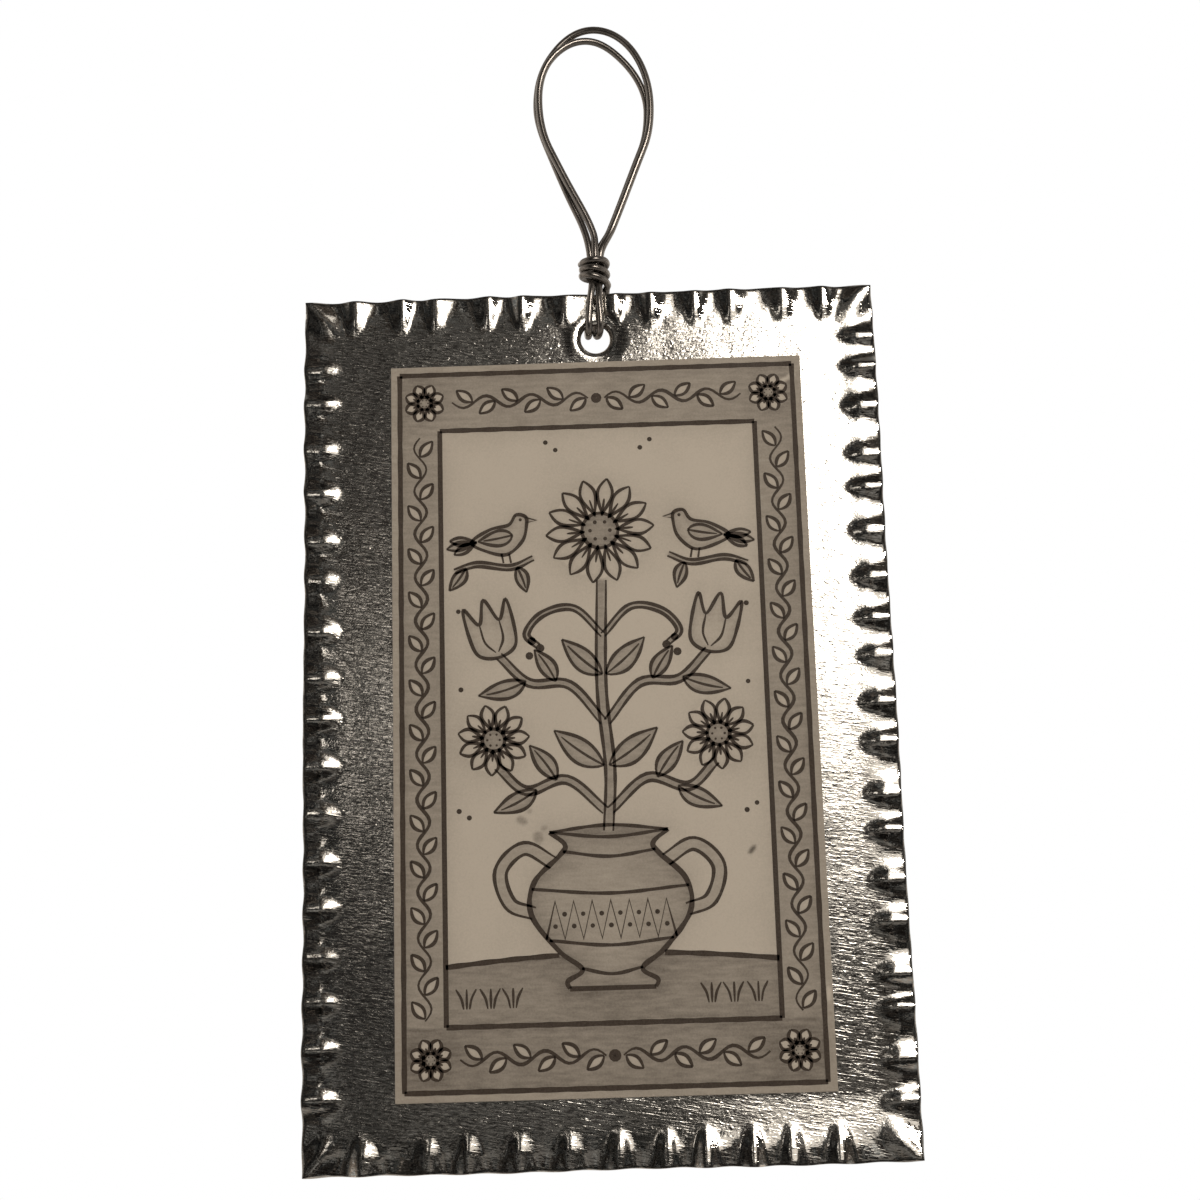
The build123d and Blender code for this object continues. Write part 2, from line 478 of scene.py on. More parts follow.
def edge_flutes(x, z):
    """Height of the flutes of all four edges."""
    left, _, bottom = plate_low
    right, _, top = plate_high
    foot = (left + foot_flat_left, right - foot_flat_right)
    height = flute_row(x, top - z, left + corner_flat, right - corner_flat, flutes_across, seeds=(1, 11))
    height += flute_row(x, z - bottom, *foot, foot_flutes, seeds=(279, 12), bend=foot_bend)
    height += flute_row(z, x - left, bottom + left_flat, top - left_flat, left_flutes, seeds=(232, 13))
    height += flute_row(z, right - x, bottom + corner_flat, top - corner_flat, flutes_along, seeds=(4, 14))
    return height


def edge_insets(x, z):
    """Distances in from the plate's nearer side and nearer end."""
    left, _, bottom = plate_low
    right, _, top = plate_high
    return np.minimum(x - left, right - x), np.minimum(z - bottom, top - z)


def corner_ridge(from_side, from_end):
    """Height of the ridges that run out to the corners."""
    across = np.clip((from_side - from_end) / sqrt(2) / ridge_half, -1, 1)
    outwards = 1 - soft_step(ridge_full, ridge_end, (from_side + from_end) / sqrt(2))
    return ridge_rise * (0.5 + 0.5 * np.cos(np.pi * across)) * outwards


def sheet_warp(x, z, from_hole):
    """Slow waves of the open tin, a bow in the left border and a curl at the foot's right."""
    beside = np.maximum(np.maximum(card_low[0] - x, x - card_high[0]),
                        np.maximum(card_low[2] - z, z - card_high[2]))
    open_tin = soft_step(warp_from, warp_full, beside) * soft_step(rim_radius, 2 * rim_radius, from_hole)
    warp = warp_rise * open_tin * np.sin(x / warp_waves[0] + 1.0) * np.cos(z / warp_waves[1])
    bow = np.exp(-((z - bow_middle) / bow_half) ** 2)
    warp += bow_rise * bow * (1 - soft_step(plate_low[0] + flute_full, card_low[0], x))
    below = np.clip((card_low[2] - z) / (card_low[2] - plate_low[2]), 0, 1)
    curl = foot_curl * soft_step(foot_curl_from, foot_curl_to, x)
    return warp + curl * below ** 2 / (below + foot_curl_soft)


def hole_relief(x, from_hole):
    """Lean and bevel round the hole, and its punched dish."""
    lean = rim_lean * x * soft_step(rim_lean_reach, dish_radius, from_hole)
    bevel = rim_bevel * soft_step(rim_radius, dish_radius, from_hole)
    dish = np.clip((dish_radius - from_hole) / (dish_radius - hole_radius), 0, 1)
    return -lean - bevel - dish_depth * dish ** 2


def plate_relief(x, z):
    """How far the sheet's middle stands forward at each place."""
    from_hole = np.hypot(x, z)
    from_side, from_end = edge_insets(x, z)
    inset = np.minimum(from_side, from_end)
    relief = edge_flutes(x, z) * soft_step(rim_radius, rim_radius + rim_clear, from_hole)
    relief += corner_ridge(from_side, from_end)
    relief -= edge_roll * np.clip(1 - inset / edge_roll_reach, 0, 1) ** 2
    return relief + sheet_warp(x, z, from_hole) + hole_relief(x, from_hole)


def worked_share(x, z):
    """How far tools have smoothed the sheet, from 0 on the open tin to 1."""
    by_flutes = 1 - soft_step(worked_full, worked_end, np.minimum(*edge_insets(x, z)))
    by_hole = 1 - soft_step(dish_radius, rim_radius, np.hypot(x, z))
    return np.maximum(by_flutes, by_hole)


def edge_pull(inset, slow, quick):
    """How far an edge is drawn in, by two waves along it."""
    waves = 0.5 + wander_slow * np.sin(slow) + wander_quick * np.sin(quick)
    return edge_wander * (1 - soft_step(0, edge_wander_reach, inset)) * waves


def wander(flat):
    """Draws the sheet's outline in and out a little along its edges."""
    x, z = flat.T
    from_side, from_end = edge_insets(x, z)
    pull_x = edge_pull(from_side, z / side_waves[0], z / side_waves[1] + 2)
    pull_z = edge_pull(from_end, x / end_waves[0] + 1, x / end_waves[1])
    middle = (plate_low + plate_high) / 2
    return np.stack([x - np.sign(x - middle[0]) * pull_x, z - np.sign(z - middle[2]) * pull_z], axis=1)


def grid_lines(axis):
    """Grid lines along an axis, closer by the sheet's edges and even round the hole."""
    low_steps = plate_low[axis] + edge_bulge + edge_steps
    high_steps = plate_high[axis] - edge_bulge - edge_steps[::-1]
    return np.concatenate([
        low_steps[:-1],
        spaced(low_steps[-1], -hole_patch, sheet_cell)[:-1],
        spaced(-hole_patch, hole_patch, hole_patch_cell),
        spaced(hole_patch, high_steps[0], sheet_cell)[1:],
        high_steps[1:],
    ])


def punched_grid():
    """Grid of the sheet, with rings of quads round the hole and an open middle behind the card."""
    sides = [grid_lines(axis) for axis in (0, 2)]
    flat, index = flat_grid(*sides)
    quads = grid_quads(index)
    centres = flat[quads].mean(axis=1)
    outside = (np.abs(centres) > hole_patch).any(axis=1)
    plain_columns, plain_rows = [
        np.flatnonzero((side > card_low[axis] + plain_margin) & (side < card_high[axis] - plain_margin))
        for side, axis in zip(sides, (0, 2))]
    plain = edge_loop(index[plain_rows[0]:plain_rows[-1] + 1, plain_columns[0]:plain_columns[-1] + 1])
    beyond = ((centres < flat[plain].min(axis=0)) | (centres > flat[plain].max(axis=0))).any(axis=1)
    blocks = [quads[outside & beyond]]
    columns, rows = [np.flatnonzero(np.abs(side) <= hole_patch + TINY) for side in sides]
    rim = edge_loop(index[rows[0]:rows[-1] + 1, columns[0]:columns[-1] + 1])
    square = flat[rim]
    circle = square / np.linalg.norm(square, axis=1, keepdims=True) * (hole_radius + edge_bulge)
    for step in range(1, hole_rings + 1):
        next_rim = np.arange(len(flat), len(flat) + len(rim))
        flat = np.concatenate([flat, square + (circle - square) * (step / hole_rings)])
        blocks.append(band(rim, next_rim))
        rim = next_rim
    quads = np.concatenate(blocks)
    used, numbers = np.unique(quads, return_inverse=True)
    loops = [np.searchsorted(used, loop) for loop in (edge_loop(index), rim, plain)]
    return flat[used], numbers.reshape(quads.shape), *loops


def make_plate(material):
    flat, quads, outer, inner, plain = punched_grid()
    middle = -plate_relief(*flat.T)
    worked = worked_share(*flat.T)
    flat = wander(flat)
    loops = [(outer, edge_bulge), (inner, -edge_bulge)]
    points, faces = closed_sheet(flat, quads, loops, middle - sheet / 2, middle + sheet / 2)
    faces += [plain.tolist(), (plain[::-1] + len(flat)).tolist()]
    plate = add_piece("tin_plate_fluted", hung(points), faces, "plate", material)
    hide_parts("tin_plate")
    shares = np.ones(len(points))
    shares[:2 * len(worked)] = np.tile(worked, 2)
    plate.data.attributes.new("worked", "FLOAT", "POINT").data.foreach_set("value", shares)


# Hanger wire

# Strand places, in millimetres from the hole's centre: to the right, to the back and up
bundle = 0.66
strand_front = -0.47
strand_back = 0.5
eye_side = 0.72
eye_depth = 1.38
eye_top = 1.85
neck = 0.12
neck_low = 7.6
neck_high = 11.2
wraps = 2.5
wrap_start = 0.35
wrap_radius = 1.52
wrap_loose = 0.1
wrap_uneven = 0.09
wrap_low = 7.1
wrap_high = 10.6
wrap_fan = 0.4
wrap_tip = 0.8


def eye_stations(side, back):
    """One pass of the wire: down in front on a side, through the hole and up behind."""
    return [
        ((neck + side * 0.44, -1.0 + side * 0.13, 6.6), (0, -0.4, -0.92)),
        ((side * 0.54, -eye_depth, 4.4), (side * 0.06, -0.05, -1)),
        ((side * eye_side, -eye_depth, eye_top), (0, 0, -1)),
        (((side * eye_side + back) / 2, 0, 0.4), ((back - side * eye_side) / 2, 1, 0)),
        ((back, eye_depth, eye_top), (0, 0, 1)),
    ]


def wrap_stations():
    """The tail's uneven turns up round the neck, to its cut end on the left."""
    stations = []
    count = round(8 * wraps)
    tall = wrap_high - wrap_low
    pitch = tall / (2 * pi * wraps)
    for eighth in range(count + 1):
        share = eighth / count
        turn = wrap_start - eighth * pi / 4
        slack = wrap_loose * ((1 - share) ** 6 - share)
        radius = wrap_radius + slack + wrap_uneven * sin(1.9 * turn)
        rise = tall * (share - 0.5)
        closing = wrap_fan * (0.5 - 0.5 * cos(turn))
        height = (wrap_low + wrap_high) / 2 + rise * (1 - closing)
        climb = pitch * (1 - closing) + rise * wrap_fan * sin(turn) / 2
        way = (sin(turn), -cos(turn), climb / radius)
        stations.append(((radius * cos(turn), radius * sin(turn), height), way))
    last, way = stations[-1]
    stations.append((tuple(a + wrap_tip * b for a, b in zip(last, way)), way))
    return stations


def wire_stations():
    """Places and ways along the wire: tucked start, loop, eye, loop, eye and wound tail."""
    return [
        ((neck - bundle, 0, 8.6), (0, 0, 1)),
        ((neck - bundle, 0, neck_high), (-0.1, 0, 1)),
        ((-2.27, strand_back, 17.2), (-0.42, 0, 0.91)),
        ((-5.6, strand_back, 25.4), (-0.36, 0, 0.93)),
        ((-7.2, strand_back, 31.9), (0, 0, 1)),
        ((-5.55, strand_back, 38.4), (0.53, -0.05, 0.85)),
        ((-0.15, 0.0, 42.2), (1, -0.1, 0)),
        ((5.5, -0.35, 38.5), (0.5, -0.03, -0.86)),
        ((7.38, strand_front, 31.0), (0, 0, -1)),
        ((6.46, strand_front, 25.4), (-0.36, 0, -0.93)),
        ((2.33, strand_front, 14.5), (-0.37, 0, -0.93)),
        ((neck + bundle, 0, neck_high), (-0.15, 0, -0.99)),
        ((neck + bundle, 0, neck_low + 0.4), (0, 0, -1)),
        *eye_stations(1, 0.02),
        ((0.9, 1.0, 6.2), (-0.1, -0.1, 1)),
        ((neck, bundle, neck_low), (-0.1, 0, 1)),
        ((neck, bundle, neck_high), (0.3, 0, 0.95)),
        ((1.98, strand_back, 14.5), (0.37, 0, 0.93)),
        ((6.08, strand_back, 25.4), (0.36, 0, 0.93)),
        ((6.95, strand_back, 30.8), (0, 0, 1)),
        ((3.86, 0.3, 38.0), (-0.68, -0.05, 0.73)),
        ((-0.7, 0.0, 40.65), (-1, -0.1, 0)),
        ((-5.25, strand_front, 38.0), (-0.6, -0.05, -0.8)),
        ((-6.87, strand_front, 32.3), (0, 0, -1)),
        ((-5.48, strand_front, 25.4), (0.42, 0, -0.91)),
        ((-2.2, strand_front, 18.6), (0.46, 0, -0.89)),
        ((-0.1, strand_front, 13.9), (0.3, 0, -0.95)),
        ((neck, -bundle, neck_high), (0.05, 0, -1)),
        ((neck, -bundle, neck_low), (-0.1, 0, -1)),
        *eye_stations(-1, -0.95),
        ((-0.75, 1.6, 3.4), (0.3, 0.25, 0.92)),
        ((0.3, 2.2, 4.8), (0.8, -0.05, 0.6)),
        ((neck + 1.0, 2.0, 5.8), (0.6, -0.4, 0.7)),
        *wrap_stations(),
    ]


def smooth_path(stations):
    """Points along a smooth line through stations, each with its direction."""
    points = []
    places = [(Vector(place), Vector(way).normalized()) for place, way in stations]
    for (start, start_way), (end, end_way) in zip(places, places[1:]):
        chord = (end - start).length
        turn = start_way.angle(end_way)
        reach = chord * 2 / (1 + cos(turn / 2))
        count = max(2, ceil(chord * MM / wire_step))
        for index in range(count):
            t = index / count
            points.append(start * ((1 + 2 * t) * (1 - t) ** 2) + end * (t * t * (3 - 2 * t))
                          + start_way * (reach * t * (1 - t) ** 2) - end_way * (reach * t * t * (1 - t)))
    points.append(places[-1][0])
    return points


def tube(path, radius):
    """Round tube along a path, closed at both ends, that doesn't twist."""
    points = []
    ways = [(after - before).normalized() for before, after in zip(path, path[1:])]
    ways.append(ways[-1])
    side = ways[0].orthogonal().normalized()
    previous = ways[0]
    for centre, way in zip(path, ways):
        side = previous.rotation_difference(way) @ side
        side = (side - way * side.dot(way)).normalized()
        other = way.cross(side)
        previous = way
        for index in range(wire_sides):
            turn = 2 * pi * index / wire_sides
            points.append(centre + (side * cos(turn) + other * sin(turn)) * radius)
    index = np.arange(len(points)).reshape(-1, wire_sides)
    faces = [quad for first, second in zip(index, index[1:]) for quad in band(first, second).tolist()]
    faces += [index[0, ::-1].tolist(), index[-1].tolist()]
    return np.array(points), faces


def make_wire(material):
    path = smooth_path(wire_stations())
    points, faces = tube(path, wire_radius / MM)
    wire = add_piece("hanger_wire_wound", points * MM + hole, faces, "hanger", material)
    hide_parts("hanger_wire")


# Picture card: a pot with a flowering plant and two birds inside a leafy border
# Its places are in millimetres, across from the card's middle and up from its foot

card_foot = np.array(((card_low[0] + card_high[0]) / 2, card_low[2]))
card_half = (card_high[0] - card_low[0]) / 2 / MM
card_tall = (card_high[2] - card_low[2]) / MM
margin = 1.1
band_side = 6.0
band_end = 8.4
line_wide = 0.6
line_fine = 0.42
line_hair = 0.3
line_waver = 0.12
line_waver_rate = 1.7
curve_steps = 8
wash_margin = 4.0
wash_soft = 0.35


class Page:
    """Washes over a grid of places, and ink lines. Drawing is mirrored while side is -1."""

    def __init__(self, places):
        self.places = places
        self.tone = np.zeros(len(places))
        self.lines = []
        self.side = 1

    def depth_inside(self, outline):
        """Places near a closed outline, and how deep inside it they lie."""
        outline = outline * (self.side, 1)
        low = outline.min(axis=0) - wash_margin
        high = outline.max(axis=0) + wash_margin
        near = np.flatnonzero(((self.places > low) & (self.places < high)).all(axis=1))
        way = np.roll(outline, -1, axis=0) - outline
        offset = self.places[near][:, None] - outline
        share = np.clip((offset * way).sum(axis=2) / ((way * way).sum(axis=1) + TINY), 0, 1)
        gap = np.linalg.norm(offset - way * share[..., None], axis=2).min(axis=1)
        climb = np.where(np.abs(way[:, 1]) < TINY, TINY, way[:, 1])
        spans = (offset[..., 1] < 0) != (offset[..., 1] < way[:, 1])
        beyond = way[:, 0] * offset[..., 1] / climb > offset[..., 0]
        inside = (spans & beyond).sum(axis=1) % 2 == 1
        return near, np.where(inside, gap, -gap)

    def wash(self, outline, tone, edge=None, fade=0.8):
        """Fills an outline with a wash that changes to another tone towards its edge."""
        near, depth = self.depth_inside(outline)
        edge = tone if edge is None else edge
        fill = tone + (edge - tone) * np.exp(-np.maximum(depth, 0) / fade)
        cover = np.clip(0.5 + depth / wash_soft, 0, 1)
        self.tone[near] += (fill - self.tone[near]) * cover

    def shadow(self, outline, tone, fade=1.0):
        """Darkens the ground just outside an outline."""
        near, depth = self.depth_inside(outline)
        self.tone[near] += tone * np.exp(np.minimum(depth, 0) / fade) * (depth < 0)

    def line(self, path, width, closed=False, taper=0.5):
        """Ink line, thinner towards its ends by the taper."""
        self.lines.append((path * (self.side, 1), width, closed, taper))


def placed(shape, foot, angle):
    """Turns a shape by an angle in degrees and moves it to its foot."""
    turn = radians(angle)
    return shape @ np.array([(cos(turn), sin(turn)), (-sin(turn), cos(turn))]) + foot


def ring(centre, radius, count=24):
    """Points of a circle, or of an oval for two radii."""
    turn = np.arange(count) * 2 * np.pi / count
    return np.stack([np.cos(turn), np.sin(turn)], axis=1) * radius + centre


def drawn_in(side, end):
    """Corners of the card's outline, drawn in from its sides and ends."""
    u = card_half - side
    return np.array([(-u, end), (u, end), (u, card_tall - end), (-u, card_tall - end)])


def curve(points, closed=False):
    """Smooth line through points."""
    points = np.array(points, float)
    if closed:
        points = np.concatenate([points[-1:], points, points[:2]])
    else:
        points = np.concatenate([2 * points[:1] - points[1:2], points, 2 * points[-1:] - points[-2:-1]])
    t = np.arange(curve_steps)[:, None] / curve_steps
    runs = []
    for a, b, c, d in zip(points, points[1:], points[2:], points[3:]):
        runs.append(b + (c - a) * t / 2 + (2 * a - 5 * b + 4 * c - d) * t ** 2 / 2
                    + (3 * b - 3 * c + d - a) * t ** 3 / 2)
    return np.concatenate(runs if closed else runs + [points[-2:-1]])


def petal(page, foot, angle, length, width, tone, edge, full=1.0, bend=0.0, rib=0.0):
    """Leaf or petal from its foot to its tip, with a rib along a share of it."""
    t = np.linspace(0, 1, 14)
    spine = np.stack([t * length, bend * length * t * t], axis=1)
    half = np.stack([np.zeros(len(t)), width / 2 * np.sin(np.pi * t ** full)], axis=1)
    left = placed(spine + half, foot, angle)
    right = placed(spine - half, foot, angle)
    page.wash(np.concatenate([left, right[::-1]]), tone, edge, width / 4)
    page.line(left, line_fine)
    page.line(right, line_fine)
    if rib:
        page.line(placed(spine[t <= rib], foot, angle), line_hair)


def leaf(page, foot, angle, length, width, bend=0.15):
    petal(page, foot, angle, length, width, tone=0.3, edge=0.55, full=0.85, bend=bend, rib=0.85)


def dot(page, centre, radius):
    page.line(ring(centre, radius / 2, count=10), radius, closed=True)


def stem(page, path, width, tone=0.45):
    """Stalk of even width, outlined on both sides."""
    half = sideways(path) * width / 2
    page.wash(np.concatenate([path + half, (path - half)[::-1]]), tone)
    page.line(path + half, line_fine)
    page.line(path - half, line_fine)


def daisy(page, centre, radius, petals, heart, turn):
    """Flower of pale petals round a dark dotted heart."""
    page.shadow(ring(centre, radius * 0.9), 0.14, fade=1.4)
    foot_out = heart * 0.85
    width = 2 * pi * radius * 0.62 / petals
    for index in range(petals):
        angle = turn + 360 * index / petals
        foot = placed(np.array([(foot_out, 0.0)]), centre, angle)[0]
        petal(page, foot, angle, radius - foot_out, width, tone=0.04, edge=0.26, full=1.35, rib=0.5)
    page.wash(ring(centre, heart), 0.42, edge=0.68, fade=heart / 2)
    page.line(ring(centre, heart), line_fine, closed=True)
    for place in ring(centre, heart * 0.55, count=6):
        dot(page, place, heart * 0.11)


def tulip(page, foot, angle, height, width):
    """Cup-shaped flower of three petals."""
    half = np.array([(0, 0), (0.40, 0.12), (0.5, 0.5), (0.47, 1.0), (0.22, 0.66), (0, 1.08)])
    whole = np.concatenate([half, (half * (-1, 1))[-2:0:-1]]) * (width, height)
    outline = placed(curve(whole, closed=True), foot, angle)
    page.shadow(outline, 0.12, fade=1.2)
    page.wash(outline, 0.12, edge=0.42, fade=0.9)
    page.line(outline, line_fine, closed=True)
    for side in (1, -1):
        seam = curve([(0.03 * side, 0.1), (0.2 * side, 0.32), (0.22 * side, 0.64)]) * (width, height)
        page.line(placed(seam, foot, angle), line_hair)


def bird(page, centre, size):
    """Plain small bird that faces the middle."""
    def at(points):
        return np.array(points, float) * (-size, size) + centre
    body = curve(at([(-0.42, 0.0), (-0.12, 0.2), (0.18, 0.27), (0.3, 0.43), (0.45, 0.4), (0.47, 0.27),
                     (0.4, 0.0), (0.14, -0.22), (-0.2, -0.15)]), closed=True)
    page.shadow(body, 0.14, fade=1.2)
    rump = at([(-0.33, 0.0)])[0]
    for angle, length in ((28, 0.42), (12, 0.5), (-4, 0.44)):
        petal(page, rump, -angle, size * length, size * 0.13, tone=0.34, edge=0.52, full=1.3)
    page.wash(body, 0.14, edge=0.45, fade=1.0)
    page.line(body, line_fine, closed=True)
    petal(page, at([(0.24, 0.1)])[0], -14, size * 0.56, size * 0.25,
          tone=0.32, edge=0.5, full=0.7, bend=0.08, rib=0.9)
    beak = at([(0.45, 0.39), (0.63, 0.33), (0.47, 0.3)])
    page.wash(beak, 0.5)
    page.line(beak, line_hair)
    dot(page, at([(0.37, 0.35)])[0], size * 0.026)
    for foot in (0.06, 0.18):
        page.line(at([(foot, -0.2), (foot + 0.03, -0.36)]), line_hair, taper=0.2)


def draw_border(page):
    """Dark band round the card with a running leaf vine, and a rosette in each corner."""
    inside = drawn_in(band_side, band_end)
    outside = drawn_in(margin, margin)
    foot_band = np.minimum(outside, (card_half, band_end))
    page.wash(drawn_in(-1, -1), 0.34)
    page.wash(outside, 0.42, edge=0.56)
    page.wash(foot_band, 0.53, edge=0.62)
    page.wash(inside, 0.0, edge=0.2, fade=1.6)
    for corners in (outside, inside):
        for start, end in zip(corners, np.roll(corners, -1, axis=0)):
            page.line(np.linspace(start, end, 40), line_wide, taper=0.0)
    middle_u = card_half - (margin + band_side) / 2
    middle_v = (margin + band_end) / 2
    rows = (middle_v, card_tall - middle_v)
    for side in (1, -1):
        page.side = side
        for v in rows:
            daisy(page, (middle_u - 0.6, v), radius=2.5, petals=8, heart=0.8, turn=22.5)
        running_vine(page, (middle_u, band_end + 0.8), (middle_u, card_tall - band_end - 0.8), waves=13)
        for v in rows:
            running_vine(page, (1.0, v), (middle_u - 4.0, v), waves=3)
    page.side = 1
    for v in rows:
        dot(page, (0.0, v), 0.7)


def running_vine(page, start, end, waves):
    """Wavy stalk with a pale leaf in the hollow of each half wave."""
    start = np.array(start)
    way = np.array(end) - start
    length = np.linalg.norm(way)
    angle = degrees(atan2(way[1], way[0]))
    t = np.linspace(0, 1, 12 * waves)
    wavy = np.stack([t * length, 0.75 * np.sin(2 * np.pi * waves * t)], axis=1)
    page.line(placed(wavy, start, angle), line_fine)
    for half in range(2 * waves):
        up = 1 if half % 2 else -1
        place = np.array([((half + 0.1) / (2 * waves) * length, 0.0)])
        foot = placed(place, start, angle)[0]
        petal(page, foot, angle + 38 * up, length=2.5, width=1.15, tone=0.12, edge=0.25, full=0.9)


def draw_ground(page):
    """Rounded ground behind the pot, with tufts of grass."""
    side_height = 14.6
    crown = 1.8
    pot_half = 5.8
    grass_foot = 10.4
    across = np.linspace(-card_half + band_side, card_half - band_side, 80)
    crest = np.stack([across, side_height + crown * np.cos(across / card_half * np.pi / 2)], axis=1)
    foot = [(across[-1], band_end), (across[0], band_end)]
    page.wash(np.concatenate([crest, foot]), 0.48, edge=0.6, fade=1.0)
    for part in (crest[across < -pot_half], crest[across > pot_half]):
        page.line(part, line_wide, taper=0.0)
    for place in (-17.0, -14.2, -11.6, 11.4, 14.0, 16.8):
        for lean in (-0.9, 0.0, 0.8):
            root = np.array((place + lean * 0.4, grass_foot))
            page.line(curve([root, root + (lean * 0.3, 1.2), root + (lean, 2.3)]), line_hair)


def bowed(reach, height, bow):
    """Line across the pot, bowed up or down."""
    return curve([(-reach, height), (0.0, height + bow), (reach, height)])


def draw_pot(page):
    """Two-handled pot with a zigzag band."""
    foot = np.array((0.0, 12.4))
    mouth_half = 7.0
    mouth_height = 18.2
    pot_bow = 0.7
    low_belt = 5.6
    high_belt = 11.6
    half = curve([(5.0, 0.0), (5.2, 0.9), (3.5, 2.2), (6.2, 4.4), (9.3, 8.6), (8.9, 12.4),
                  (5.9, 15.4), (5.2, 16.7), (mouth_half, mouth_height)]) + foot
    outline = np.concatenate([half, (half * (-1, 1))[::-1]])
    page.shadow(outline, 0.2, fade=1.5)
    for side in (1, -1):
        page.side = side
        handle = curve(foot + [(6.6, 14.6), (10.0, 16.4), (12.8, 13.8), (11.8, 10.0), (9.0, 8.8)])
        stem(page, handle, width=1.4, tone=0.32)
    page.side = 1
    page.wash(outline, 0.3, edge=0.58, fade=2.2)
    for side in (1, -1):
        page.line(half * (side, 1), line_wide, taper=0.2)
    page.line(np.array([half[0] * (-1, 1), half[0]]), line_wide, taper=0.0)

    belts = [bowed(mouth_half, mouth_height, bow) + foot for bow in (-pot_bow, pot_bow)]
    page.wash(np.concatenate([belts[0], belts[1][::-1]]), 0.6)
    for height in (2.3, low_belt, high_belt, 15.9):
        reach = np.interp(height + foot[1], half[curve_steps:, 1], half[curve_steps:, 0])
        belts.append(bowed(reach, height, -pot_bow) + foot)
    for belt in belts:
        page.line(belt, line_fine, taper=0.2)

    count = 14
    places = np.linspace(-7.6, 7.6, count + 1)
    heights = foot[1] + np.where(np.arange(count + 1) % 2, high_belt - 1.5, low_belt + 0.1)
    page.line(np.stack([places, heights], axis=1), line_fine, taper=0.2)
    for index in range(1, count):
        between = heights[index] + (-2.9 if index % 2 else 2.9)
        dot(page, (places[index], between), 0.28)


def draw_plant(page):
    """Even-sided flowering plant that grows from the pot."""
    main = curve([(0, 30.6), (0.4, 38.0), (-0.35, 48.0), (0, 61.0)])
    low = curve([(0.3, 33.0), (4.8, 36.8), (9.6, 35.6), (13.0, 38.6)])
    middle = curve([(0.2, 43.6), (4.2, 48.2), (9.0, 48.6), (12.6, 52.0)])
    high = curve([(0.0, 54.2), (3.4, 57.6), (7.2, 57.0), (9.2, 54.6), (7.8, 53.0)])
    # Foot, angle in degrees, length and width, and a bend where it isn't the usual one
    leaves = (
        ((0.3, 38.4), 28, 7.2, 2.8),
        ((0.2, 49.4), 34, 6.4, 2.5),
        ((6.0, 36.8), 62, 5.2, 2.1, -0.15),
        ((8.4, 35.7), -38, 5.6, 2.2, 0.2),
        ((5.8, 48.7), 66, 4.6, 1.9, -0.15),
        ((9.4, 48.8), -28, 5.8, 2.2, 0.22),
    )
    for side in (1, -1):
        page.side = side
        for path, width in ((low, 0.9), (middle, 0.85), (high, 0.6)):
            stem(page, path, width)
        for place in leaves:
            leaf(page, *place)
        daisy(page, (13.4, 41.8), radius=4.3, petals=11, heart=1.35, turn=12)
        tulip(page, (12.6, 51.8), angle=-14, height=6.8, width=5.6)
        for place in ((7.6, 52.8), (8.9, 51.9), (8.6, 53.7)):
            dot(page, place, 0.5)
    page.side = 1
    stem(page, main, 1.1)
    daisy(page, (0.0, 67.2), radius=6.6, petals=14, heart=2.2, turn=4)


def draw_birds(page):
    """A bird on a twig on each side of the plant, and a few dots."""
    for side in (1, -1):
        page.side = side
        twig = curve([(17.8, 62.6), (15.0, 63.4), (11.0, 62.9), (8.2, 64.0)])
        stem(page, twig, 0.55)
        leaf(page, (16.4, 63.0), -62, 3.4, 1.5)
        leaf(page, (10.2, 62.9), -118, 3.3, 1.5)
        bird(page, (12.5, 66.2), size=7.6)
        for place in ((5.2, 77.6), (6.4, 78.6), (17.2, 48.0), (17.6, 33.4), (16.4, 32.6), (17.4, 57.6)):
            dot(page, place, 0.3)
    page.side = 1


def draw_wear(page):
    """Pale scuffs on the right, grey rubbed spots and a dark speck."""
    pale = 0.02
    grey = 0.42
    dark = 0.8
    # Place across and up, half length, half width, angle in degrees and tone
    marks = [
        (card_half - 2.2, card_tall - 3.2, 1.0, 0.24, 24, pale),
        (card_half - 1.2, card_tall - 2.6, 0.5, 0.32, 20, pale),
        (card_half - 0.5, 11.0, 0.3, 0.9, 0, pale),
        (-10.2, 32.1, 0.7, 0.45, -30, grey),
        (-9.3, 33.2, 0.3, 0.25, 0, grey),
        (-8.3, 30.0, 0.6, 0.75, 20, grey),
        (-7.6, 31.1, 0.35, 0.25, 30, grey),
        (16.8, 27.9, 0.6, 0.28, 50, dark),
    ]
    for u, v, half_long, half_wide, angle, tone in marks:
        page.wash(placed(ring((0, 0), (half_long, half_wide)), (u, v), angle), tone)


def ink_ribbons(page):
    """Thin closed ribbons of ink, sunk a little into the card."""
    points = []
    faces = []
    count = 0
    for path, width, closed, taper in page.lines:
        share = np.linspace(0, 1, len(path))
        swell = np.ones(len(path)) if closed else 1 - taper * np.abs(2 * share - 1) ** 3
        swell = swell * (1 + line_waver * np.sin(path.sum(axis=1) * line_waver_rate))
        half = sideways(path, closed) * (width / 2 * swell)[:, None]
        edges = [path + half, path - half, path - half, path + half]
        depths = [card_low[1] - ink_proud] * 2 + [card_low[1] + ink_sunk] * 2
        rails = [on_card(edge, depth) for edge, depth in zip(edges, depths)]
        points.append(np.stack(rails, axis=1).reshape(-1, 3))
        index = count + np.arange(4 * len(path)).reshape(-1, 4)
        count += index.size
        following = np.roll(index, -1, axis=0) if closed else index[1:]
        for first, second in zip(index, following):
            faces += band(first, second).tolist()
        if not closed:
            faces += [index[0, ::-1].tolist(), index[-1].tolist()]
    return np.concatenate(points), faces


def on_card(places, depth):
    """Points of the upright plate for places on the card."""
    return at_depth(places * MM + card_foot, depth)


